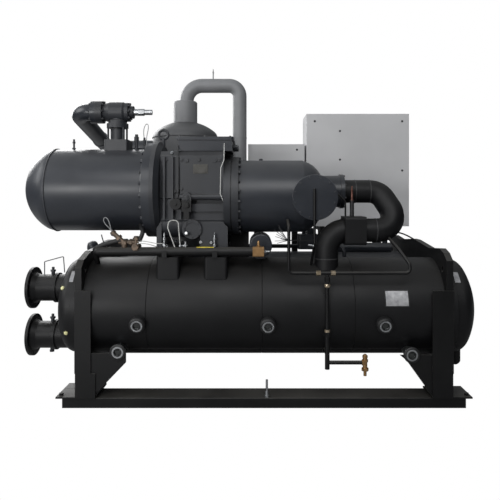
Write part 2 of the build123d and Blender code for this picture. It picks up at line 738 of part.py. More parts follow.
def service_bolt(x):
    return Pos(x, OIL_Y, OIL_Z + OIL_R - 3) * (rod(9, 46) + Pos(0, 0, 10) * hexagon(30, 14)) - oil_line()


def oil_end():
    h = 38.0
    body = block(-OIL_END, -OIL_END + 88, OIL_Y - h, OIL_Y + h, OIL_Z - h, OIL_Z + h)
    body = chamfer(body.edges().filter_by(Axis.X), 6)
    tip = hexagon(26, 12) + Pos(0, 0, 12) * turned((0, 0), (11, 0), (11, 18), (5, 34), (0, 34))
    side = to_right(88 - OIL_END, OIL_Y, OIL_Z, hexagon(26, 18) + Pos(0, 0, 18) * rod(8, 26))
    return body + Pos(45 - OIL_END, OIL_Y, OIL_Z + h) * tip + side


def oil_cluster():
    x = -1085.0
    body = Pos(x, OIL_Y, OIL_Z + OIL_R - 4) * (rod(22, 26) + Pos(0, 0, 26) * hexagon(56, 24))
    cross = to_right(x - 44, OIL_Y, OIL_Z + 72, rod(17, 150))
    nut = to_right(x + 40, OIL_Y, OIL_Z + 72, hexagon(46, 22))
    lower = to_front(x + 92, OIL_Y + 50, OIL_Z + 36, rod(30, 84) + Pos(0, 0, 84) * hexagon(44, 18))
    elbow = Pos(x + 92, OIL_Y, OIL_Z + 30) * (rod(19, 90) + Pos(0, 0, 60) * hexagon(48, 18))
    lean = Pos(x - 10, OIL_Y, OIL_Z + 76) * Rot(0, -49, 0)
    stem = lean * (rod(18, 120) + Pos(0, 0, 34) * hexagon(50, 20) + Pos(0, 0, 92) * hexagon(42, 18))
    return body + cross + nut + lower + elbow + stem - oil_line()


save("oil_line", oil_line())
save("service_bolts", service_bolt(-775), service_bolt(-385), service_bolt(-610))
save("oil_end_valve", oil_end())
save("oil_valve_cluster", oil_cluster())
white = capillaries()
save("sleeved_capillaries", white[1], white[2])
save("capillary_tubes", white[0], small - flange_box() - lower_suction, tall + gauge)


# Tubes from the oil valves to the separator and down to the vessel
def oil_hose():
    rise = pipe(17, 40, (-970, OIL_Y, OIL_Z + 80), (-940, OIL_Y, OIL_Z + 150), (-985, -180, 1400))
    low = pipe(20, 50, (-1110, OIL_Y, OIL_Z + 90), (-1205, OIL_Y, OIL_Z + 66), (-1330, OIL_Y + 40, OIL_Z + 20),
               (-1340, -120, 1060))
    return [rise - sep_full - separator_flange() - oil_cluster(), low - oil_cluster() - oil_line() - evap_body]


save("oil_hose", *oil_hose())


# Small tubes over the front of the evaporator
TUBE_Y = -EVAP_R - 22
TUBE_Z = 1038.0
TUBE_R = 12.5


def level_tube():
    line = pipe(TUBE_R, 34, (187, -190, 1440), (187, TUBE_Y, 1390), (187, TUBE_Y, TUBE_Z), (1108, TUBE_Y, TUBE_Z),
                (1104, TUBE_Y + 10, 1106), (1050, -330, 1200), (1000, -215, 1280), (975, -175, 1310))
    return line - motor - upper_suction - lower_suction


DROP_TUBE_X = 478.0


def drop_tube():
    upper = Pos(DROP_TUBE_X, TUBE_Y, 560) * rod(14, TUBE_Z - TUBE_R - 560)
    lower = Pos(DROP_TUBE_X, TUBE_Y, 312) * rod(18, 250)
    nut = Pos(DROP_TUBE_X, TUBE_Y, 560) * hexagon(44, 34)
    top_nut = Pos(DROP_TUBE_X, TUBE_Y, TUBE_Z - TUBE_R - 56) * hexagon(36, 40)
    branch = to_right(DROP_TUBE_X, TUBE_Y, 362, rod(15, 262))
    hold = [to_front(DROP_TUBE_X, -300, z, rod(12, -TUBE_Y - 300)) for z in (870, 640)]
    low = to_front(DROP_TUBE_X, -200, 420, rod(14, -TUBE_Y - 200))
    body = fuse(upper + lower + nut + top_nut + branch + low, hold)
    return body - evap_body - to_right(180, TUBE_Y, TUBE_Z, rod(TUBE_R, 920))


def tee(x):
    return to_right(x - 17, TUBE_Y, TUBE_Z, hexagon(34, 34)) - to_right(180, TUBE_Y, TUBE_Z, rod(TUBE_R, 920))


def angle_valve():
    x = DROP_TUBE_X + 286
    body = Pos(x, TUBE_Y, 300) * (rod(17, 100) + hexagon(46, 22) + Pos(0, 0, 66) * hexagon(40, 20))
    cap = Pos(x, TUBE_Y, 400) * turned((0, 0), (20, 0), (20, 14), (8, 26), (0, 26))
    side = to_left(x, TUBE_Y, 362, hexagon(38, 24))
    tip = Pos(x, TUBE_Y, 262) * rod(12, 40)
    return body + cap + side + tip - to_right(DROP_TUBE_X, TUBE_Y, 362, rod(15, 262))


save("level_tube", level_tube())
save("drain_tube", drop_tube())
save("tube_fittings", tee(411), tee(523))
save("drain_valve", angle_valve())


# Name plates
def shell_plate(x0, x1, z0, z1, r0, r1):
    slab = block(x0, x1, -460, -200, z0, z1)
    return slab & to_right(x0 - 20, EVAP_Y, EVAP_Z, ring(r0, r1, x1 - x0 + 40))


save("name_plate", shell_plate(931, 1103, 784, 893, EVAP_R, EVAP_R + 3))


# Cabinets at the back, doors to the rear
def cabinet(x0, x1, z0, z1):
    body = block(x0, x1, CAB_Y, CAB_BACK, z0, z1)
    body = fillet(body.edges().filter_by(Axis.Z), 6)
    return body - block(x0 + 3, x1 - 3, CAB_Y + 3, CAB_BACK + 1, z0 + 3, z1 - 3)


def screws(spots):
    return [to_front(x, CAB_Y, z, rod(7, 3)) for x, z in spots]


def door(x0, x1, z0, z1):
    body = block(x0, x1, CAB_BACK, Y_BACK, z0, z1)
    body = fillet(body.edges().filter_by(Axis.Y), 8)
    grip = block(x0 + 40, x0 + 70, Y_BACK - 8, Y_BACK + 1, (z0 + z1) / 2 - 70, (z0 + z1) / 2 + 70)
    return body - grip


TALL = (459.0, 1515.0, CAB_BOTTOM, TALL_TOP)
LOW = (-140.0, 442.0, CAB_BOTTOM, LOW_TOP)
TALL_SCREWS = ((545, 76), (1443, 76), (804, 176), (804, 470), (1443, 582))
tall = fuse(cabinet(*TALL), screws([(x, TALL_TOP - drop) for x, drop in TALL_SCREWS]))
low = fuse(cabinet(*LOW), screws(((362, LOW_TOP - 56),)))
save("control_cabinet", tall)
save("starter_cabinet", low)
MID = (TALL[0] + TALL[1]) / 2
save("cabinet_doors", door(TALL[0], MID - 2, TALL[2], TALL[3]), door(MID + 2, TALL[1], TALL[2], TALL[3]),
     door(LOW[0], LOW[1], LOW[2], LOW[3]))


def bearer(x):
    beam = block(x, x + 50, CAB_Y, CAB_BACK, CAB_BOTTOM - 50, CAB_BOTTOM)
    legs = block(x, x + 50, CAB_Y + 10, CAB_Y + 60, 900, CAB_BOTTOM - 50)
    rear = block(x, x + 50, 1210, 1260, 800, CAB_BOTTOM - 50)
    return beam + legs + rear - cond_body


frames = [bearer(x) for x in (-80, 320, 600, 1180)]
cabinet_frames = fuse(frames[0], frames[1:])
save("cabinet_frame", *frames)


# Oil filter, liquid line and relief header between the vessels and the compressor
def oil_filter():
    body = to_front(-23, 110, 1226, rod(92, 300))
    body = fillet(body.edges().group_by(Axis.Y)[0], 12)
    stand = block(-63, 17, -60, 60, 1000, 1200)
    return body + stand - evap_body


def liquid_line():
    y = 420.0
    z = 1165.0
    line = pipe(18, 60, (-400, 330, 900), (-400, y, z), (740, y, z), (740, 330, 900))
    body = block(320, 500, y - 70, y + 70, z - 24, z + 110)
    body = fillet(body.edges().filter_by(Axis.Z), 18)
    motor_top = Pos(410, y, z + 110) * (rod(52, 46) + Pos(0, 0, 46) * full_dome(52, 22))
    return line + body + motor_top - evap_body - cond_body


def relief_header():
    header = to_right(740, COND_Y, COND_Z + COND_R + 42, rod(48, 560))
    valves = [Pos(x, COND_Y, COND_Z + COND_R + 80) * (rod(18, 70) + hexagon(48, 34)) for x in (820, 940, 1240)]
    return fuse(header, valves) - cond_body


save("oil_filter", oil_filter())
save("liquid_line", liquid_line())
save("relief_header", relief_header() - cabinet_frames)
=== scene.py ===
# %% [markdown]
# # A water-cooled screw chiller
# The solids of the machine come ready-made and stay where they are. This file gives them their paint,
# foam, brass and steel, adds the small fittings that are too fine for the solids, and sets up the
# camera, the pale floor and the soft light of the photograph.

import bmesh
import bpy
import json
import math
from mathutils import Matrix, Vector

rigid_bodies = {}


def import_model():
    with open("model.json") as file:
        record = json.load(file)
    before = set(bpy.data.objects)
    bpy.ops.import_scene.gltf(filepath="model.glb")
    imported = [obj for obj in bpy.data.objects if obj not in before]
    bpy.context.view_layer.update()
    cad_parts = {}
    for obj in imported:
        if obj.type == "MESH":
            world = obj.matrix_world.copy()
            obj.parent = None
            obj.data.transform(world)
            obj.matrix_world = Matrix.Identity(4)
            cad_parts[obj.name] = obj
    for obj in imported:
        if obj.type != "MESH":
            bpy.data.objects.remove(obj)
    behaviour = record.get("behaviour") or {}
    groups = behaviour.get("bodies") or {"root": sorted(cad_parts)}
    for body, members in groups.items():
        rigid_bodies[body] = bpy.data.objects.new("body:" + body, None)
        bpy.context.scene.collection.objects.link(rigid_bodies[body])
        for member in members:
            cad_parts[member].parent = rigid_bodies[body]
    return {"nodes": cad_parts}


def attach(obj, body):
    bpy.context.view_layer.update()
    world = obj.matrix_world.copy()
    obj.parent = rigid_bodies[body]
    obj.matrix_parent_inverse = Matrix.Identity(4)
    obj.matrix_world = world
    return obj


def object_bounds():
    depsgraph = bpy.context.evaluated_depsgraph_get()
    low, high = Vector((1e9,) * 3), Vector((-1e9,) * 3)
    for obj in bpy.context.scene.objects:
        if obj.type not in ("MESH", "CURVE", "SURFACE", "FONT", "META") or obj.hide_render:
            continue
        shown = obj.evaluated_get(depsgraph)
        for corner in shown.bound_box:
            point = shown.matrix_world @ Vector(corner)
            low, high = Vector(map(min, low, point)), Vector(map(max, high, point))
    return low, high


for item in list(bpy.data.objects):
    bpy.data.objects.remove(item)
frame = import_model()
NODES = frame["nodes"]
cad_low, cad_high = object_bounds()
scene = bpy.context.scene

# %% [markdown]
# Lengths below are in millimetres, measured from the middle of the base and from the axis of the front
# vessel. `here` turns such a point into the shared frame in metres. Colours are written as they look
# on a screen, and `srgb` makes them linear once for all materials.

# %% Units and colours
SHIFT_X = 121.0
SHIFT_Y = -497.045
EVAP_Z = 720


def here(x, y, z):
    return Vector(((x + SHIFT_X) / 1000, (y + SHIFT_Y) / 1000, z / 1000))


def srgb(code):
    parts = [int(code[i:i + 2], 16) / 255 for i in (0, 2, 4)]
    linear = [c / 12.92 if c <= 0.04045 else ((c + 0.055) / 1.055) ** 2.4 for c in parts]
    return (*linear, 1.0)


def add(tree, kind, inputs=None, **settings):
    """Adds one node; inputs take a value or another node's socket."""
    node = tree.nodes.new(kind)
    for name, value in settings.items():
        setattr(node, name, value)
    for name, value in (inputs or {}).items():
        if isinstance(value, bpy.types.NodeSocket):
            tree.links.new(value, node.inputs[name])
        else:
            node.inputs[name].default_value = value
    return node


# %% [markdown]
# One function puts a coat of paint, foam or metal into a node tree. A fine noise gives the skin, a
# coarse noise shifts the tone from place to place, edges wear to a lighter tone, and dust gathers
# where the surface faces up. The pattern sizes are in millimetres, so they keep their size on every
# piece.

# %% One coat
DUST = "8d8a84"


def coat(tree, colour, tone, rough, grain_mm, grain_depth_mm, cloud_mm, dust=0.0, metal=0.0, edge_mm=1.5,
         wear=0.0, gloss=0.5):
    place = add(tree, "ShaderNodeTexCoord").outputs["Object"]
    cloud = add(tree, "ShaderNodeTexNoise", {"Vector": place, "Scale": 1000 / cloud_mm, "Detail": 4.0,
                                             "Roughness": 0.55}).outputs["Fac"]
    grain = add(tree, "ShaderNodeTexNoise", {"Vector": place, "Scale": 1000 / grain_mm, "Detail": 2.0})
    spread = add(tree, "ShaderNodeMapRange", {"Value": cloud, "From Min": 0.35, "From Max": 0.65})
    base = add(tree, "ShaderNodeMixRGB", {"Fac": spread.outputs["Result"], "Color1": srgb(colour),
                                          "Color2": srgb(tone)})
    geometry = add(tree, "ShaderNodeNewGeometry").outputs
    up = add(tree, "ShaderNodeSeparateXYZ", {"Vector": geometry["Normal"]}).outputs["Z"]
    lying = add(tree, "ShaderNodeMapRange", {"Value": up, "From Min": 0.35, "From Max": 1.0, "To Max": dust})
    patchy = add(tree, "ShaderNodeMath", {0: lying.outputs["Result"], 1: cloud}, operation="MULTIPLY")
    dusty = add(tree, "ShaderNodeMixRGB", {"Fac": patchy.outputs[0], "Color1": base.outputs[0],
                                           "Color2": srgb(DUST)})
    soft = add(tree, "ShaderNodeBevel", {"Radius": edge_mm / 1000}, samples=4).outputs["Normal"]
    bend = add(tree, "ShaderNodeVectorMath", {0: soft, 1: geometry["Normal"]}, operation="DOT_PRODUCT")
    edge = add(tree, "ShaderNodeMapRange", {"Value": bend.outputs["Value"], "From Min": 0.995, "From Max": 0.9,
                                            "To Max": wear})
    chipped = add(tree, "ShaderNodeMath", {0: edge.outputs["Result"], 1: cloud}, operation="MULTIPLY")
    worn = add(tree, "ShaderNodeMixRGB", {"Fac": chipped.outputs[0], "Color1": dusty.outputs[0],
                                          "Color2": srgb(DUST)})
    shine = add(tree, "ShaderNodeMapRange", {"Value": cloud, "From Min": 0.3, "From Max": 0.7,
                                             "To Min": rough - 0.05, "To Max": rough + 0.07})
    bump = add(tree, "ShaderNodeBump", {"Height": grain.outputs["Fac"], "Distance": grain_depth_mm / 1000,
                                        "Strength": 0.6, "Normal": soft})
    skin = add(tree, "ShaderNodeBsdfPrincipled", {"Base Color": worn.outputs[0], "Metallic": metal,
                                                  "Roughness": shine.outputs["Result"],
                                                  "Specular IOR Level": gloss,
                                                  "Normal": bump.outputs["Normal"]})
    return skin.outputs["BSDF"]


def new_tree(name):
    mat = bpy.data.materials.new(name)
    mat.use_nodes = True
    mat.node_tree.nodes.clear()
    return mat, mat.node_tree


def surface(name, *look, **more):
    mat, tree = new_tree(name)
    add(tree, "ShaderNodeOutputMaterial", {"Surface": coat(tree, *look, **more)})
    return mat


# %% [markdown]
# Paints, foam, rubber and metals. Each row holds the colour, a second tone, the roughness, the size
# and depth of the fine grain and the size of the coarse clouds. Grain finer than a millimetre would
# vanish at this distance, so it is drawn one to nine millimetres wide.

# %% Looks
# Enamel on rolled steel: smooth and half glossy, with long soft highlights and a cool cast.
SLATE_LOOK = ("23262c", "2b2e34", 0.36, 3.0, 0.12, 420)
SLATE = surface("slate_enamel_paint", *SLATE_LOOK, dust=0.25, wear=0.5)
# The same enamel on sand-cast iron: the mould's grain shows through and dulls it.
CAST_LOOK = ("202226", "2a2c31", 0.46, 5.0, 0.5, 260)
CAST = surface("painted_cast_iron", *CAST_LOOK, dust=0.25, wear=0.5)
WORN_CAST = surface("rubbed_cast_iron", "45443f", "35332f", 0.55, 4.0, 0.4, 40, wear=0.8)
# Black enamel on sections and plates: dull, with rubbed edges and dust on what lies flat.
BLACK = surface("black_enamel_paint", "060607", "0a0a0b", 0.45, 3.0, 0.12, 350, dust=0.35, wear=0.35,
                gloss=0.34)
# Closed-cell rubber foam: deep black with a soft, broad sheen and a slightly uneven skin.
FOAM = surface("black_rubber_foam", "060608", "0b0b0d", 0.5, 9.0, 0.6, 300, dust=0.12, edge_mm=3.0,
               gloss=0.32)
# One flat grey primer on the parts behind the compressor, in two copies: a pale one with the glare on the neck
# and hot gas pipe painted in, and a darker one with painted shade on the vertical separator.
GLARE_GREY = surface("grey_primer_with_painted_glare", "78797b", "848587", 0.5, 3.0, 0.12, 500, dust=0.2)
SHADE_GREY = surface("grey_primer_with_painted_shade", "424345", "4c4d4f", 0.5, 3.0, 0.12, 500, dust=0.2)
# Baked powder on sheet steel: an even light grey with a fine orange-peel skin.
CABINET = surface("light_grey_powder_coat", "bebebf", "c5c5c6", 0.5, 1.6, 0.06, 700, dust=0.1, wear=0.3)
# Brass, new and aged: warm and half bright where it is new, brown and dull where it has tarnished.
BRASS_LOOK = ("a8855c", "8f6f4a", 0.42, 2.0, 0.08, 60)
BRASS = surface("brass", *BRASS_LOOK, metal=0.8)
OLD_BRASS = surface("aged_brass", "6d5d4f", "4a423b", 0.45, 3.0, 0.2, 40, metal=0.6)
NICKEL = surface("nickel_plated_brass", "cbbba3", "a8987f", 0.32, 2.0, 0.06, 60, metal=0.9)
# Steel: bright under its zinc, nearly black where it has only been oiled.
ZINC_LOOK = ("c2c4c6", "a3a5a7", 0.3, 2.0, 0.06, 80)
ZINC = surface("zinc_plated_steel", *ZINC_LOOK, metal=1.0)
DARK_STEEL = surface("dark_steel", "3a3b3d", "2b2c2e", 0.42, 2.0, 0.06, 60, metal=0.5)
PLATE = surface("bare_aluminium_plate", "b9b9ba", "8f8f92", 0.42, 1.2, 0.03, 45, metal=0.5)
# Plastic and rubber: smooth, evenly coloured and half matt.
SLEEVE = surface("white_plastic_sleeve", "c9c9c6", "b4b4b0", 0.5, 2.0, 0.05, 60)
WIRE = surface("grey_cable_sheath", "8e8f90", "7b7c7d", 0.5, 2.0, 0.05, 60)
RUBBER = surface("black_rubber", "101011", "171718", 0.55, 2.0, 0.08, 60)
YELLOW = surface("yellow_tape", "e8d448", "d8c23c", 0.5, 2.0, 0.05, 40)
CREAM = surface("cream_plastic_cap", "e6e3b0", "d6d298", 0.5, 2.0, 0.05, 40)
GLUE = surface("glued_foam_seam", "3a3a3b", "2a2a2b", 0.5, 4.0, 0.3, 30)
COPPER_LOOK = ("8d6457", "694840", 0.42, 2.0, 0.08, 60)
POST_LOOK = ("141415", "1b1b1c", 0.5, 2.0, 0.1, 60)


def two_tone(name, first, second, limit_m, axis="X", metals=(0.0, 1.0)):
    """Paints one look below a limit along an axis and another beyond it."""
    mat, tree = new_tree(name)
    place = add(tree, "ShaderNodeTexCoord").outputs["Object"]
    along = add(tree, "ShaderNodeSeparateXYZ", {"Vector": place}).outputs[axis]
    beyond = add(tree, "ShaderNodeMath", {0: along, 1: limit_m}, operation="GREATER_THAN")
    both = add(tree, "ShaderNodeMixShader", {0: beyond.outputs[0], 1: coat(tree, *first, metal=metals[0]),
                                             2: coat(tree, *second, metal=metals[1])})
    add(tree, "ShaderNodeOutputMaterial", {"Surface": both.outputs[0]})
    return mat


BONNET = two_tone("cast_iron_with_bright_stem", CAST_LOOK, ZINC_LOOK, here(-1076, 0, 0).x)
OIL_END = two_tone("brass_with_bright_spigot", BRASS_LOOK, ZINC_LOOK, here(2, 0, 0).x, metals=(0.8, 1.0))
SENSOR = two_tone("black_post_with_copper_tip", POST_LOOK, COPPER_LOOK, 1.588, axis="Z", metals=(0.0, 0.8))


def glass(name):
    mat = bpy.data.materials.new(name)
    mat.use_nodes = True
    skin = mat.node_tree.nodes["Principled BSDF"]
    skin.inputs["Base Color"].default_value = srgb("1d201f")
    skin.inputs["Roughness"].default_value = 0.06
    skin.inputs["Coat Weight"].default_value = 0.6
    return mat


GLASS = glass("sight_glass")

# %% [markdown]
# Every solid gets the one material it is made of. The names say what the real piece is painted with,
# cast in or wrapped in. The grey primer behind the compressor also carries painted glare and painted shade.

# %% Materials of the solids
MATERIALS = {
    SLATE: ["oil_separator_head", "oil_separator_shell", "oil_separator_flange", "condenser_shell",
            "condenser_heads", "cooling_water_nozzles", "discharge_pipe", "suction_strainer",
            "compressor_motor_casing", "terminal_box", "liquid_line", "oil_filter", "relief_header"],
    CAST: ["compressor_flange", "compressor_rotor_casing", "compressor_motor_flange", "compressor_feet",
           "discharge_base", "discharge_valve", "pilot_valve", "lifting_eye", "head_fittings"],
    BLACK: ["base_rails", "foot_plates", "end_plates", "leg_flanges", "cabinet_frame",
            "oil_line", "level_tube", "drain_tube", "compressor_solenoids", "capillary_tubes"],
    FOAM: ["evaporator_shell", "evaporator_head_left", "evaporator_head_right", "chilled_water_nozzles",
           "suction_pipe", "suction_flange_box", "saddle_blocks"],
    # The pale copy of the grey primer carries painted glare, and the darker copy carries painted shade.
    GLARE_GREY: ["vertical_separator_neck", "hot_gas_pipe"],
    SHADE_GREY: ["vertical_separator_shell", "vertical_separator_heads", "vertical_separator_skirt"],
    CABINET: ["control_cabinet", "starter_cabinet", "cabinet_doors"],
    BRASS: ["drain_valve"],
    OLD_BRASS: ["oil_valve_cluster"],
    NICKEL: ["tube_fittings"],
    ZINC: ["anchor_studs", "service_bolts", "sight_glasses"],
    RUBBER: ["oil_hose"],
    SLEEVE: ["sleeved_capillaries"],
    PLATE: ["name_plate"],
    BONNET: ["discharge_bonnet"],
    OIL_END: ["oil_end_valve"],
    SENSOR: ["suction_sensor"],
}
for material, names in MATERIALS.items():
    for name in names:
        mesh = NODES[name].data
        mesh.materials.clear()
        mesh.materials.append(material)
        for face in mesh.polygons:
            face.material_index = 0


# %% [markdown]
# Small pieces are built from a few helpers. Each mesh is written straight in the shared frame, so its
# own origin stays at the world's origin, and each one rides on the machine's single body.

# %% Mesh helpers
def keep(name, mesh, material, smooth=True):
    piece = bpy.data.objects.new(name, mesh)
    scene.collection.objects.link(piece)
    mesh.materials.clear()
    mesh.materials.append(material)
    for face in mesh.polygons:
        face.use_smooth = smooth
        face.material_index = 0
    if smooth:
        mesh.set_sharp_from_angle(angle=math.radians(35))
    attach(piece, "root")
    return piece


def frame_on(centre, axis):
    """A matrix that stands local Z along axis at centre."""
    turn = Vector(axis).to_track_quat("Z", "Y").to_matrix().to_4x4()
    return Matrix.Translation(centre) @ turn


def cleaned(name, verts, faces):
    """A mesh with its double points merged and its faces turned outwards."""
    shape = bmesh.new()
    spots = [shape.verts.new(v) for v in verts]
    for face in faces:
        shape.faces.new([spots[i] for i in face])
    bmesh.ops.remove_doubles(shape, verts=shape.verts, dist=1e-6)
    bmesh.ops.dissolve_degenerate(shape, edges=shape.edges, dist=1e-7)
    bmesh.ops.recalc_face_normals(shape, faces=shape.faces)
    mesh = bpy.data.meshes.new(name)
    shape.to_mesh(mesh)
    shape.free()
    return mesh


def lathe(profile, segments=40):
    """A closed ring of rows turned about Z; profile is (radius, height) in millimetres."""
    verts, faces = [], []
    n = len(profile)
    for k in range(segments):
        a = 2 * math.pi * k / segments
        for r, h in profile:
            verts.append((r * math.cos(a) / 1000, r * math.sin(a) / 1000, h / 1000))
    for k in range(segments):
        m = (k + 1) % segments
        for i in range(n - 1):
            faces.append((k * n + i, m * n + i, m * n + i + 1, k * n + i + 1))
    return cleaned("lathe", verts, faces)


def turned(name, profile, centre, axis, material, segments=40):
    mesh = lathe(profile, segments)
    mesh.transform(frame_on(centre, axis))
    return keep(name, mesh, material)


def joined(meshes):
    verts, faces = [], []
    for mesh in meshes:
        start = len(verts)
        verts += [tuple(v.co) for v in mesh.vertices]
        faces += [tuple(start + i for i in p.vertices) for p in mesh.polygons]
    out = bpy.data.meshes.new("joined")
    out.from_pydata(verts, [], faces)
    return out


def slab(x0, x1, y0, y1, z0, z1):
    low, high = here(x0, y0, z0), here(x1, y1, z1)
    verts = [(x, y, z) for x in (low.x, high.x) for y in (low.y, high.y) for z in (low.z, high.z)]
    faces = [(0, 1, 3, 2), (4, 6, 7, 5), (0, 4, 5, 1), (2, 3, 7, 6), (0, 2, 6, 4), (1, 5, 7, 3)]
    return cleaned("slab", verts, faces)


def wrap(x0, x1, low_deg, high_deg, r0, r1, axis_y=0, axis_z=EVAP_Z, steps=12):
    """A thin curved slab on a vessel along X; the angle is 0 at the front and 90 at the top."""
    verts, faces = [], []
    for k in range(steps + 1):
        a = math.radians(low_deg + (high_deg - low_deg) * k / steps)
        for x in (x0, x1):
            for r in (r0, r1):
                verts.append(here(x, axis_y - r * math.cos(a), axis_z + r * math.sin(a)))
    for k in range(steps):
        i = 4 * k
        for p, q in ((0, 1), (1, 3), (3, 2), (2, 0)):
            faces.append((i + p, i + q, i + 4 + q, i + 4 + p))
    faces += [(0, 2, 3, 1), (4 * steps, 4 * steps + 1, 4 * steps + 3, 4 * steps + 2)]
    return cleaned("wrap", verts, faces)


def tube(points, radius_mm, sides=12):
    """A round tube along one smooth curve; points are in millimetres."""
    curve = bpy.data.curves.new("tube", "CURVE")
    curve.dimensions = "3D"
    curve.bevel_depth = radius_mm / 1000
    curve.bevel_resolution = max(1, sides // 4 - 1)
    curve.resolution_u = 8
    curve.use_fill_caps = True
    line = curve.splines.new("NURBS")
    line.points.add(len(points) - 1)
    for spot, point in zip(line.points, points):
        spot.co = (*here(*point), 1.0)
    line.order_u = min(4, len(points))
    line.use_endpoint_u = True
    holder = bpy.data.objects.new("tube", curve)
    scene.collection.objects.link(holder)
    bpy.context.view_layer.update()
    mesh = bpy.data.meshes.new_from_object(holder.evaluated_get(bpy.context.evaluated_depsgraph_get()))
    bpy.data.objects.remove(holder)
    return mesh


# %% [markdown]
# Bolts repeat all over the machine, so one Geometry Nodes group makes them. It sets a washer and a hex
# head on every point it is given. Its other inputs are the width and height of a head and the seed of
# the small turns that keep the heads from lining up. The result is made real and kept as a plain mesh.

# %% Geometry Nodes: bolts on points
def bolt_group(material):
    group = bpy.data.node_groups.new("bolts_on_points", "GeometryNodeTree")
    face = group.interface
    face.new_socket("Geometry", in_out="INPUT", socket_type="NodeSocketGeometry")
    for label, kind in (("Head Radius", "NodeSocketFloat"), ("Head Height", "NodeSocketFloat"),
                        ("Seed", "NodeSocketInt")):
        face.new_socket(label, in_out="INPUT", socket_type=kind)
    face.new_socket("Geometry", in_out="OUTPUT", socket_type="NodeSocketGeometry")
    entry = add(group, "NodeGroupInput").outputs
    wide = add(group, "ShaderNodeMath", {0: entry["Head Radius"], 1: 1.25}, operation="MULTIPLY")
    washer = add(group, "GeometryNodeMeshCylinder", {"Vertices": 20, "Radius": wide.outputs[0], "Depth": 0.003},
                 fill_type="NGON")
    head = add(group, "GeometryNodeMeshCylinder", {"Vertices": 6, "Radius": entry["Head Radius"],
                                                   "Depth": entry["Head Height"]}, fill_type="NGON")
    half = add(group, "ShaderNodeMath", {0: entry["Head Height"], 1: 0.5}, operation="MULTIPLY")
    lift = add(group, "ShaderNodeCombineXYZ", {"Z": half.outputs[0]})
    raised = add(group, "GeometryNodeTransform", {"Geometry": head.outputs["Mesh"],
                                                  "Translation": lift.outputs[0]})
    pair = add(group, "GeometryNodeJoinGeometry")
    group.links.new(washer.outputs["Mesh"], pair.inputs[0])
    group.links.new(raised.outputs["Geometry"], pair.inputs[0])
    turn = add(group, "FunctionNodeRandomValue", {"Seed": entry["Seed"]}, data_type="FLOAT")
    turn.inputs["Max"].default_value = math.radians(60)
    spin = add(group, "ShaderNodeCombineXYZ", {"Z": turn.outputs["Value"]})
    heads = add(group, "GeometryNodeInstanceOnPoints", {"Points": entry["Geometry"],
                                                        "Instance": pair.outputs[0],
                                                        "Rotation": spin.outputs[0]})
    real = add(group, "GeometryNodeRealizeInstances", {"Geometry": heads.outputs["Instances"]})
    painted = add(group, "GeometryNodeSetMaterial", {"Geometry": real.outputs["Geometry"]})
    painted.inputs["Material"].default_value = material
    add(group, "NodeGroupOutput", {"Geometry": painted.outputs["Geometry"]})
    return group


def made_by(group, values, points=()):
    """Runs a node group on a set of points and keeps the result as a plain mesh."""
    spots = bpy.data.meshes.new("spots")
    spots.from_pydata(points, [], [])
    holder = bpy.data.objects.new("maker", spots)
    scene.collection.objects.link(holder)
    modifier = holder.modifiers.new("maker", "NODES")
    modifier.node_group = group
    for item in group.interface.items_tree:
        if item.in_out == "INPUT" and item.name in values:
            modifier[item.identifier] = values[item.name]
    bpy.context.view_layer.update()
    mesh = bpy.data.meshes.new_from_object(holder.evaluated_get(bpy.context.evaluated_depsgraph_get()))
    holder.modifiers.clear()
    bpy.data.objects.remove(holder)
    return mesh


def bolts(name, points, head_mm, height_mm, axis, material, seed=1):
    """Bolts on a list of points that all face one way."""
    turn = frame_on(Vector(), axis)
    values = {"Head Radius": head_mm / 2000, "Head Height": height_mm / 1000, "Seed": seed}
    mesh = made_by(bolt_group(material), values, [turn.inverted() @ point for point in points])
    mesh.transform(turn)
    return keep(name, mesh, material, smooth=False)


def ring_points(count, ring_mm, centre, axis, first_deg):
    angles = [math.radians(first_deg + 360 * i / count) for i in range(count)]
    ring = [Vector((math.cos(a), math.sin(a), 0)) * ring_mm / 1000 for a in angles]
    return [frame_on(centre, axis) @ point for point in ring]


# %% [markdown]
# A weld bead is a row of overlapping drops round a seam. A second group lays them out: its inputs are
# the radius of the seam, the size of a drop, the number of drops and the seed that varies their size.

# %% Geometry Nodes: a weld bead
def weld_group(material):
    group = bpy.data.node_groups.new("weld_bead", "GeometryNodeTree")
    face = group.interface
    face.new_socket("Geometry", in_out="INPUT", socket_type="NodeSocketGeometry")
    for label, kind in (("Radius", "NodeSocketFloat"), ("Drop", "NodeSocketFloat"),
                        ("Count", "NodeSocketInt"), ("Seed", "NodeSocketInt")):
        face.new_socket(label, in_out="INPUT", socket_type=kind)
    face.new_socket("Geometry", in_out="OUTPUT", socket_type="NodeSocketGeometry")
    entry = add(group, "NodeGroupInput").outputs
    ring = add(group, "GeometryNodeMeshCircle", {"Vertices": entry["Count"], "Radius": entry["Radius"]})
    drop = add(group, "GeometryNodeMeshIcoSphere", {"Radius": entry["Drop"], "Subdivisions": 2})
    size = add(group, "FunctionNodeRandomValue", {"Seed": entry["Seed"]}, data_type="FLOAT")
    size.inputs["Min"].default_value = 0.85
    size.inputs["Max"].default_value = 1.15
    drops = add(group, "GeometryNodeInstanceOnPoints", {"Points": ring.outputs["Mesh"],
                                                        "Instance": drop.outputs["Mesh"],
                                                        "Scale": size.outputs["Value"]})
    real = add(group, "GeometryNodeRealizeInstances", {"Geometry": drops.outputs["Instances"]})
    painted = add(group, "GeometryNodeSetMaterial", {"Geometry": real.outputs["Geometry"]})
    painted.inputs["Material"].default_value = material
    add(group, "NodeGroupOutput", {"Geometry": painted.outputs["Geometry"]})
    return group


def weld(name, radius_mm, drop_mm, centre, axis, material, seed=1):
    count = round(2 * math.pi * radius_mm / drop_mm)
    values = {"Radius": radius_mm / 1000, "Drop": drop_mm / 1000, "Count": count, "Seed": seed}
    mesh = made_by(weld_group(material), values)
    mesh.transform(frame_on(centre, axis))
    return keep(name, mesh, material)


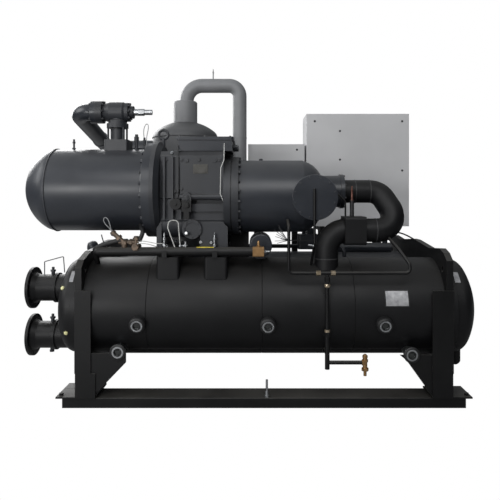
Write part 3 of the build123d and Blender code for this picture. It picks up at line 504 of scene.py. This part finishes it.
# %% [markdown]
# The sight glasses are steel rings screwed on short pipes. Each one gets a dark window set back in its
# ring, a dark seal around the window and a soft rubber collar that folds over the ring's rim. The three
# upper ones point away from the vessel's axis and the two low ones point straight forward.

# %% Sight glasses
UPPER_GLASSES = ((-960, 642), (30, 636), (913, 640))
LOW_GLASSES = ((-1110, 438, 425.5), (1120, 416, 412.5))
GLASS_FACE_R = 452
LOW_GLASS_FACE = -418
GLASS_RING = 47
WINDOW = [(0, -6), (12, -6.4), (24.6, -8.5), (24.6, -10.5), (0, -10.5)]
SEAL = [(24, 0.1), (32, 0.1), (32, 0.9), (31, 1.5), (25.5, 1.5), (24, 0.8), (24, 0.1)]
FOLD = [(50, 0.8), (48, 1.6), (43.8, 1.6), (43.4, 0.1), (GLASS_RING + 0.3, 0.1)]
AROUND = GLASS_RING + 0.4
COLLAR = [(AROUND, -62), (58, -64), (62, -40), (62, -14), (59, -8)] + FOLD + [(AROUND, -62)]
LOW_RING = [(26, -13.5), (GLASS_RING, -13.5), (GLASS_RING, -2), (GLASS_RING - 2, 0), (28, 0), (26, -2),
            (26, -13.5)]
LOW_SLEEVE = [(26, -49.5), (GLASS_RING, -49.5), (GLASS_RING, -13.8), (26, -13.8), (26, -49.5)]
LOW_COLLAR = [(AROUND, -13.5), (60, -13.5), (62, -11), (61, -5)] + FOLD + [(AROUND, -13.5)]
windows, seals, collars, rings, sleeves = [], [], [], [], []


def seat(mesh, centre, axis, group):
    mesh.transform(frame_on(centre, axis))
    group.append(mesh)


for x, z in UPPER_GLASSES:
    tilt = math.asin((EVAP_Z - z) / GLASS_FACE_R)
    out = Vector((0, -math.cos(tilt), -math.sin(tilt)))
    face = here(x, 0, EVAP_Z) + out * GLASS_FACE_R / 1000
    seat(lathe(WINDOW), face, out, windows)
    seat(lathe(SEAL), face, out, seals)
    seat(lathe(COLLAR), face, out, collars)


def above(mesh, z_mm):
    """Keeps what lies above a height and closes the cut."""
    shape = bmesh.new()
    shape.from_mesh(mesh)
    everything = shape.verts[:] + shape.edges[:] + shape.faces[:]
    cut = bmesh.ops.bisect_plane(shape, geom=everything, plane_co=here(0, 0, z_mm), plane_no=(0, 0, 1),
                                 clear_inner=True)
    rim = [item for item in cut["geom_cut"] if isinstance(item, bmesh.types.BMEdge)]
    bmesh.ops.holes_fill(shape, edges=rim)
    bmesh.ops.recalc_face_normals(shape, faces=shape.faces)
    shape.to_mesh(mesh)
    shape.free()
    return mesh


for x, z, gusset_top in LOW_GLASSES:
    face = here(x, LOW_GLASS_FACE, z)
    seat(lathe(WINDOW), face, (0, -1, 0), windows)
    seat(lathe(SEAL), face, (0, -1, 0), seals)
    seat(lathe(LOW_COLLAR), face, (0, -1, 0), collars)
    seat(lathe(LOW_RING), face, (0, -1, 0), rings)
    seat(lathe(LOW_SLEEVE), face, (0, -1, 0), sleeves)
    above(sleeves[-1], gusset_top)
keep("sight_glass_windows", joined(windows), GLASS)
keep("sight_glass_seals", joined(seals), RUBBER)
keep("sight_glass_collars", joined(collars), RUBBER)
keep("low_sight_glass_rings", joined(rings), ZINC)
keep("low_sight_glass_sleeves", joined(sleeves), ZINC)

# %% [markdown]
# Dark caps sit over the screws on the front of both cabinets.

# %% Cabinet screw caps
CABINET_FACE = 1050
SCREW_CAP = [(0, 4.2), (8, 4.2), (11, 1.6), (11, 0.1), (7.4, 0.1), (7.4, 3.1), (0, 3.1)]
CABINET_SCREWS = ((545, 2388), (1443, 2388), (804, 2288), (804, 1994), (1443, 1882), (362, 2096))
caps = []
for x, z in CABINET_SCREWS:
    seat(lathe(SCREW_CAP, segments=24), here(x, CABINET_FACE, z), (0, -1, 0), caps)
keep("cabinet_screw_caps", joined(caps), DARK_STEEL)

# %% [markdown]
# Plates and small marks. The casting carries a plain raised pad, the front vessel's plate lies in a
# dark frame, both water heads carry a small bare plate, and a strip of yellow tape lies on the oil pipe.

# %% Pads, plates and tape
pad = [slab(-552, -437, -286.5, -283, 1797, 1870), slab(-546, -443, -289, -286, 1803, 1864)]
keep("plain_pad", joined(pad), WORN_CAST, smooth=False)


def plate_frame(x0, x1, low, high, r0, r1, width):
    rise = math.degrees(width / r0)
    return joined([wrap(x0 - width, x1 + width, high, high + rise, r0, r1, steps=2),
                   wrap(x0 - width, x1 + width, low - rise, low, r0, r1, steps=2),
                   wrap(x0 - width, x0, low, high, r0, r1), wrap(x1, x1 + width, low, high, r0, r1)])


keep("name_plate_frame", plate_frame(931, 1103, 9.4, 26.4, 389.5, 393.5, 9), RUBBER)
keep("head_plate_right", wrap(1482, 1530, 37, 52, 379.5, 382), PLATE)
keep("head_plate_left", wrap(-1516, -1480, 38, 54, 379.5, 382), PLATE)
keep("yellow_strip", wrap(-523, -388, 62, 118, 34.8, 36, axis_y=-296, axis_z=1190), YELLOW)

# %% [markdown]
# Bolts that the solids leave out: the nuts of the compressor's feet, the bolts of the strainer's rear
# rim and of its front cover, and those on the casing. The bolt group makes them all.

# %% Bolts and nuts
FOOT_NUTS = ((-489, -240), (-340, -240), (-489, 240), (-340, 240), (-760, -236), (-760, 236))
bolts("foot_nuts", [here(x, y, 1221) for x, y in FOOT_NUTS], 26, 18, (0, 0, 1), ZINC, seed=3)
bolts("suction_rim_bolts", ring_points(8, 136, here(662, 0, 1660), (1, 0, 0), 22.5), 14, 9, (1, 0, 0), CAST,
      seed=4)
bolts("strainer_cover_bolts", ring_points(12, 160, here(400, -300.5, 1611), (0, -1, 0), 15), 13, 6, (0, -1, 0),
      SLATE, seed=5)
CASING_BOLTS = ((-642, -285, 1905), (-345, -285, 1905), (-642, -285, 1680), (-345, -285, 1680),
                (-505, -285, 1905), (-770, -247, 1905), (-700, -247, 1660), (-770, -237, 1560))
bolts("casing_bolts", [here(*spot) for spot in CASING_BOLTS], 22, 11, (0, -1, 0), CAST, seed=6)
plug = [(0, 0), (13, 0), (13, 10), (9, 12), (9, 18), (0, 19)]
turned("casing_plug", plug, here(-726, -222, 1959), (0, -0.65, 0.76), ZINC)

# %% [markdown]
# Two plates close the gaps beside the motor's flange: the foot under the terminal box and the support
# between the motor and the front vessel.

# %% Foot of the terminal box and motor support
keep("terminal_box_foot", slab(-318, -250, -20, 180, 1930, 1974), CAST, smooth=False)
keep("motor_support", slab(-279, -121, 100, 112, 1092, 1330), BLACK, smooth=False)

# %% [markdown]
# Weld beads run round the seams of the pressure vessels and where the pipes meet them.

# %% Welds
weld("weld_separator_head", 338, 6, here(-1704, 0, 1672), (1, 0, 0), SLATE, 1)
weld("weld_separator_flange", 338, 6, here(-950, 0, 1672), (1, 0, 0), SLATE, 2)
# The beads on the vertical separator take the primer's copy with painted shade. Those on the arch and riser pad
# take the copy with painted glare.
weld("weld_vertical_top", 325, 6, here(-771, 950, 2200), (0, 0, 1), SHADE_GREY, 3)
weld("weld_vertical_bottom", 325, 6, here(-771, 950, 1360), (0, 0, 1), SHADE_GREY, 4)
weld("weld_arch", 72, 4, here(-758, 950, 2572), (0, 0, 1), GLARE_GREY, 5)
weld("weld_riser_pad", 72, 4, here(-224, 950, 1092), (0, 0, 1), GLARE_GREY, 6)
weld("weld_condenser_left", 361, 6, here(-1388, 950, 700), (1, 0, 0), SLATE, 7)
weld("weld_condenser_right", 361, 6, here(1388, 950, 700), (1, 0, 0), SLATE, 8)

# %% [markdown]
# The solenoid on the casting has a rounded coil on top and a round nut. The long stems
# of the oil service valves and the silver fittings beside them are turned pieces.

# %% Solenoid, stems and fittings
turns = [math.radians(a) for a in range(0, 181, 12)]
arch = [(-599 + 37 * math.cos(a), 1590 + 62 * math.sin(a)) for a in turns]
verts = [here(x, y, z) for y in (-326, -264) for x, z in arch]
n = len(arch)
faces = [(i, i + 1, n + i + 1, n + i) for i in range(n - 1)] + [(n - 1, 0, n, 2 * n - 1)]
faces += [tuple(range(n))[::-1], tuple(range(n, 2 * n))]
keep("solenoid_coil", cleaned("coil", verts, faces), CAST)
ROUND_NUT = [(0, 0), (22, 0), (22, 8), (18, 11), (9, 11), (9, 20), (0, 20)]
turned("solenoid_nut", ROUND_NUT, here(-599, -326, 1606), (0, -1, 0), CAST)
STEM = [(0, 0), (9, 0), (9, 16), (14, 16), (14, 32), (8, 34), (8, 58), (5, 60), (5, 72), (0, 72)]
for tag, x in (("left", -775), ("right", -385)):
    turned("service_stem_" + tag, STEM, here(x, -296, 1264), (0, 0, 1), ZINC)
NUT = [(0, 0), (11, 0), (13, 3), (13, 13), (11, 16), (0, 16)]
silver = [(-622, -296, 1226, (0, 0, 1)), (-650, -296, 1226, (0, 0, 1)), (-596, -314, 1330, (-0.5, -1, 0.4)),
          (-495, -261.5, 1261, (0, -1, 0)), (-412, -261.5, 1257, (0, -1, 0))]
for i, (x, y, z, axis) in enumerate(silver):
    turned("silver_nut_%d" % (i + 1), NUT, here(x, y, z), axis, ZINC)
FLARE_NUT = [(16, 0), (22, 2), (22, 20), (16, 22), (16, 0)]
UNION = [(15, 0), (21, 3), (24, 12), (21, 26), (15, 28), (15, 0)]
turned("drop_tube_nut", FLARE_NUT, here(478, -412, 590), (0, 0, 1), NICKEL)
turned("drop_tube_union", UNION, here(478, -412, 930), (0, 0, 1), NICKEL)
ELBOW = [(0, 0), (12, 0), (12, 10), (8, 12), (8, 44), (0, 44)]
turned("riser_elbow", ELBOW, here(386, -316, 1236), (-1, 0, 0.15), ZINC)
END_CAP = [(0, -4), (15, -4), (15, 6), (11, 11), (0, 13)]
turned("nozzle_cap_upper", END_CAP, here(-1558, -316, 908), (-0.57, -0.7, 0.43), CREAM)
turned("nozzle_cap_lower", END_CAP, here(-1522, -348, 569), (-0.07, -0.92, -0.38), CREAM)
VENT_CAP = [(0, 0), (50, 0), (55, 10), (55, 40), (48, 70), (30, 88), (0, 95)]
turned("head_vent_cap", VENT_CAP, here(-1706, 950, 1075), (0, 0, 1), SLATE)
turned("motor_lug", [(0, 0), (16, 0), (16, 12), (9, 16), (0, 16)], here(-20, 0, 1916), (0, 0, 1), SLATE)

# %% [markdown]
# Thin control cables are clipped to the machine at both ends. One hangs in a loop from the small valve
# and follows the separator's flange, one runs down the casting, and short ones join the oil valves.

# %% Control cables
shell_run = [(-955, -340 * math.cos(math.radians(a)), 1672 + 340 * math.sin(math.radians(a)))
             for a in range(78, -4, -9)]
loop = [(-990, 0, 2088), (-1000, -8, 2150), (-985, -20, 2215), (-955, -26, 2225), (-948, -30, 2180),
        (-968, -36, 2110), (-960, -50, 2040)]
CABLES = {
    "cable_separator": (3.2, WIRE, loop + shell_run),
    "cable_casting": (3.6, RUBBER, [(-672, -180, 2040), (-674, -262, 2030), (-668, -286, 1960),
                                    (-662, -291, 1880), (-664, -290, 1760), (-660, -290, 1660),
                                    (-668, -286, 1610), (-684, -272, 1566)]),
    "cable_valves": (3, SLEEVE, [(-1010, -300, 1262), (-960, -312, 1276), (-900, -306, 1270),
                                 (-840, -300, 1250), (-786, -296, 1252)]),
    "cable_valves_low": (3, SLEEVE, [(-1000, -318, 1250), (-950, -330, 1258), (-890, -322, 1252),
                                     (-850, -300, 1232), (-836, -262, 1224)]),
    "cable_tail_left": (4.5, RUBBER, [(-1291, -200, 1315), (-1288, -200, 1288), (-1270, -215, 1255),
                                      (-1246, -262, 1238)]),
    "cable_loop_left": (3.5, WIRE, [(-1176, -320, 1345), (-1195, -322, 1375), (-1225, -324, 1400),
                                    (-1245, -324, 1435), (-1232, -324, 1462), (-1205, -324, 1448),
                                    (-1192, -322, 1405), (-1180, -320, 1350)]),
    "cable_end_plate": (7, RUBBER, [(1180, 1040, 1300), (1185, 900, 1262), (1200, 700, 1275),
                                    (1262, 480, 1292), (1330, 400, 1256), (1392, 396, 1215)]),
    "cable_riser": (4, RUBBER, [(199, -404, 1286), (250, -380, 1284), (330, -340, 1280), (386, -318, 1278)]),
    "cable_solenoid": (3, RUBBER, [(-690, -300, 1560), (-700, -322, 1600), (-692, -330, 1640),
                                   (-676, -300, 1652), (-668, -276, 1640)]),
}
for name, (radius, material, points) in CABLES.items():
    keep(name, tube(points, radius), material)
tails = []
for i in range(9):
    rise = -20 + i * 17
    reach = 84 + 26 * math.sin(i * 2.3)
    tip = (184 - reach, -410 + 3 * i, 1284 + rise)
    tails.append(tube([(184, -412, 1284), (150, -418, 1286 + rise * 0.3), tip], 2.0))
keep("tie_tails", joined(tails), RUBBER)

# %% [markdown]
# The foam on the suction pipe and on the front vessel is glued from sheets, which shows as slightly
# raised seams. Each seam on the pipe is a thin ring that crosses it.

# %% Foam seams
SEAM = [(95.3, -4), (97.2, -3), (97.2, 3), (95.3, 4), (94.2, 0), (95.3, -4)]
for i, (x, y, z, axis) in enumerate([(760, 0, 1660, (1, 0, 0)), (880, 0, 1660, (1, 0, 0)),
                                     (900, -150, 1346, (1, 0, 0)), (505, -150, 1120, (0, 0, 1))]):
    turned("suction_seam_%d" % (i + 1), SEAM, here(x, y, z), axis, GLUE, segments=64)
keep("evaporator_seam", wrap(-1389, 1389, -49.4, -48.9, 389.6, 391, steps=2), GLUE)

# %% [markdown]
# The camera stands at eye height in front of the machine and looks level along +Y. The shift moves the
# horizon up in the picture instead of tilting the camera, so upright edges stay upright.

# %% Camera
lens = bpy.data.cameras.new("camera")
lens.sensor_width = 36.0
lens.lens = 38.88
lens.shift_x = -0.01
lens.shift_y = -0.11
lens.clip_start = 0.05
lens.clip_end = 100.0
camera = bpy.data.objects.new("camera", lens)
scene.collection.objects.link(camera)
camera.location = here(-69, -4500, 1630)
camera.rotation_euler = (math.radians(90), 0, 0)
scene.camera = camera

# %% [markdown]
# The photograph has been cut out on white. The floor and the world look plain white to the camera, and
# the world still lights the machine softly, more from above and from the left than from the right.
# Four wide lamps stand for the hall's roof lights and windows: one high above the camera, a long low
# one whose reflection lies along the separator, one high at the left and one behind the left end.

# %% Floor, world and light
def white_floor():
    mat = bpy.data.materials.new("white_floor")
    mat.use_nodes = True
    tree = mat.node_tree
    tree.nodes.clear()
    path = add(tree, "ShaderNodeLightPath")
    matt = add(tree, "ShaderNodeBsdfDiffuse", {"Color": srgb("a0a0a0")})
    glow = add(tree, "ShaderNodeEmission", {"Color": (1, 1, 1, 1), "Strength": 1.0})
    both = add(tree, "ShaderNodeMixShader", {"Fac": path.outputs["Is Camera Ray"]})
    tree.links.new(matt.outputs[0], both.inputs[1])
    tree.links.new(glow.outputs[0], both.inputs[2])
    add(tree, "ShaderNodeOutputMaterial", {"Surface": both.outputs[0]})
    return mat


floor_mesh = bpy.data.meshes.new("floor")
floor_mesh.from_pydata([(-12, -9, 0), (12, -9, 0), (12, 9, 0), (-12, 9, 0)], [], [(0, 1, 2, 3)])
floor = bpy.data.objects.new("floor", floor_mesh)
floor.location.z = cad_low.z - 0.002
floor_mesh.materials.append(white_floor())
scene.collection.objects.link(floor)

world = bpy.data.worlds.new("world")
scene.world = world
world.use_nodes = True
tree = world.node_tree
tree.nodes.clear()
path = add(tree, "ShaderNodeLightPath")
sky = add(tree, "ShaderNodeTexCoord").outputs["Generated"]
toward = add(tree, "ShaderNodeSeparateXYZ", {"Vector": sky}).outputs
fade = add(tree, "ShaderNodeMapRange", {"Value": toward["Z"], "From Min": -0.1, "From Max": 0.8,
                                        "To Min": 0.03, "To Max": 0.62})
side = add(tree, "ShaderNodeMapRange", {"Value": toward["X"], "From Min": -0.9, "From Max": 0.9,
                                        "To Min": 1.25, "To Max": 0.35})
level = add(tree, "ShaderNodeMath", {0: fade.outputs["Result"], 1: side.outputs["Result"]},
            operation="MULTIPLY")
room = add(tree, "ShaderNodeBackground", {"Color": srgb("f7fbff"), "Strength": level.outputs[0]})
white = add(tree, "ShaderNodeBackground", {"Color": (1, 1, 1, 1), "Strength": 1.0})
both = add(tree, "ShaderNodeMixShader", {"Fac": path.outputs["Is Camera Ray"]})
tree.links.new(room.outputs[0], both.inputs[1])
tree.links.new(white.outputs[0], both.inputs[2])
add(tree, "ShaderNodeOutputWorld", {"Surface": both.outputs[0]})


def lamp(name, place, aim, size, watts):
    data = bpy.data.lights.new(name, "AREA")
    data.shape = "RECTANGLE"
    data.size, data.size_y = size
    data.energy = watts
    item = bpy.data.objects.new(name, data)
    scene.collection.objects.link(item)
    item.location = place
    item.rotation_euler = (aim - place).to_track_quat("-Z", "Y").to_euler()
    item.visible_camera = False


middle = here(0, 400, 1200)
lamp("lamp_front_high", Vector((0.0, -5.5, 5.0)), middle, (5, 2.5), 150)
lamp("lamp_window_left", Vector((-3.4, -7.0, 1.9)), here(-1300, 0, 1600), (2.6, 1.1), 140)
lamp("lamp_left_high", Vector((-5.0, -2.0, 4.0)), middle, (3, 3), 110)
lamp("lamp_back_left", Vector((-4.0, 4.0, 4.0)), middle, (4, 3), 230)

scene.view_settings.view_transform = "Standard"
scene.view_settings.look = "None"
scene.view_settings.exposure = 0.0
scene.view_settings.gamma = 1.0
